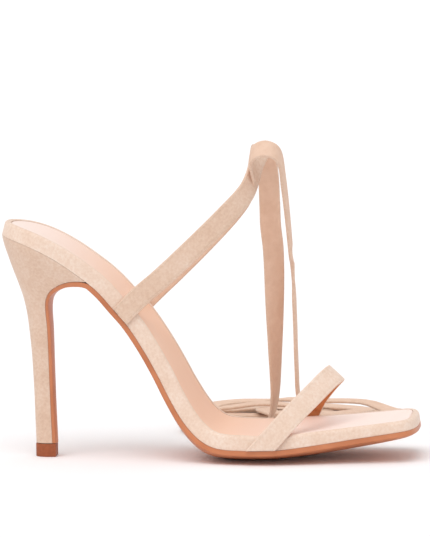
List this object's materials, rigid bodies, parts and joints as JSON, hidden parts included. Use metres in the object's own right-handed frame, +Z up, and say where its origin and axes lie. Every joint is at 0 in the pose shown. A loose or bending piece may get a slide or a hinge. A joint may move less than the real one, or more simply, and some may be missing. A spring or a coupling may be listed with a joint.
{
  "type": "high_heeled_sandal",
  "caption": "Stiletto sandal with a square toe, a narrow toe strap, and waist straps that cross at the ankle and run on as long flat ties.",
  "frame": {"origin": "centre of the heel tip's underside, on the floor", "axes": "+X to the toe, +Y to the inner (medial) side, +Z up"},
  "size_m": [0.2077, 0.2114, 0.1592],
  "materials": {
    "suede_cover": "matte beige suede",
    "sock_lining": "smooth peach lining leather",
    "moulded_outsole": "smooth orange-tan outsole",
    "tip_rubber": "matte brown top piece"
  },
  "bodies": {
    "root": {"outsole": "moulded_outsole", "heel": "suede_cover", "heel_tip": "tip_rubber", "footbed": "suede_cover", "insole_sock": "sock_lining", "toe_strap": "suede_cover", "ankle_straps": "suede_cover", "tie_outer": "suede_cover", "tie_inner": "suede_cover"}
  },
  "joints": []
}
